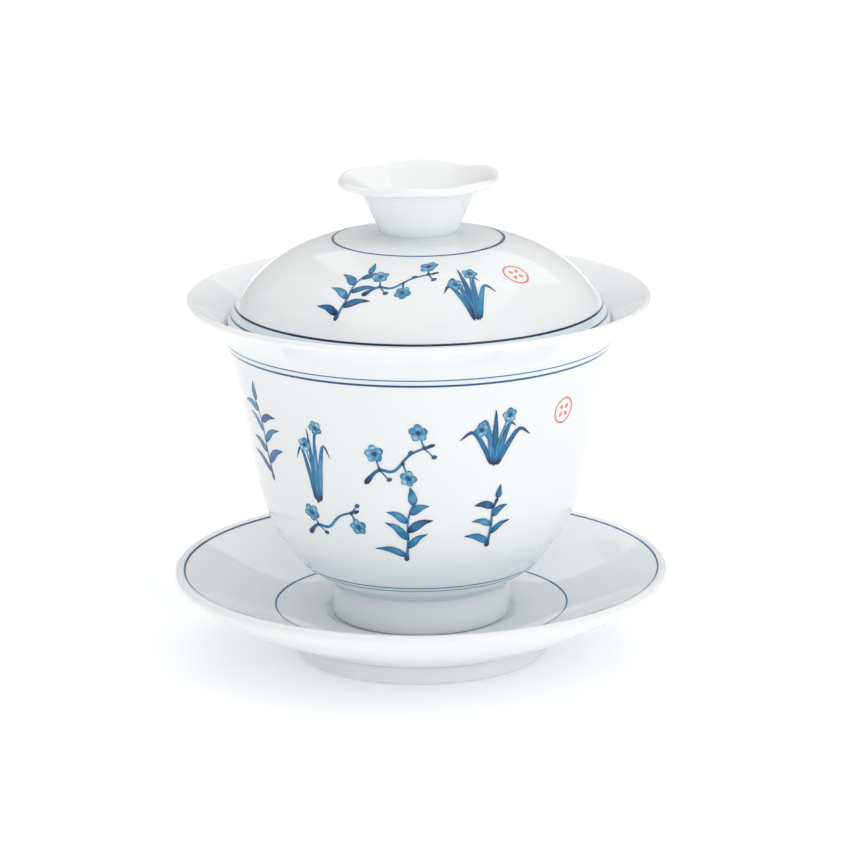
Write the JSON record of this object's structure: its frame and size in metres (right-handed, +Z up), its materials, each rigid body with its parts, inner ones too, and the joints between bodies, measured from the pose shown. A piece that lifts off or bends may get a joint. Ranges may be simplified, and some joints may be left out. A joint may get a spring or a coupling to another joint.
{
  "type": "gaiwan",
  "caption": "Lidded porcelain tea bowl with a flared lip, domed lid with open funnel knob and a shallow footed saucer, for brewing and serving tea",
  "frame": {"origin": "on the turning axis, level with the standing edge of the saucer's foot ring, so that the part stands on Z = 0", "axes": "+Z is up, along the turning axis through saucer, bowl, lid and knob; +X is the user's right and -Y is the painted front, which faces the user"},
  "size_m": [0.1076, 0.1078, 0.1052],
  "materials": {
    "white_glaze": "polished",
    "cobalt_blue": "polished",
    "iron_red": "polished",
    "bare_porcelain": "matte"
  },
  "bodies": {
    "saucer": {"saucer_dish": "white_glaze", "saucer_foot_ring": "white_glaze"},
    "bowl": {"bowl_body": "white_glaze", "bowl_foot_ring": "white_glaze"},
    "lid": {"lid_dome": "white_glaze", "lid_knob": "white_glaze"}
  },
  "joints": [
    {"name": "bowl_lift", "type": "slide", "parent": "saucer", "child": "bowl", "axis": [0, 0, 1], "range_m": [0, 0.06]},
    {"name": "lid_lift", "type": "slide", "parent": "bowl", "child": "lid", "axis": [0, 0, 1], "range_m": [0, 0.06]}
  ]
}
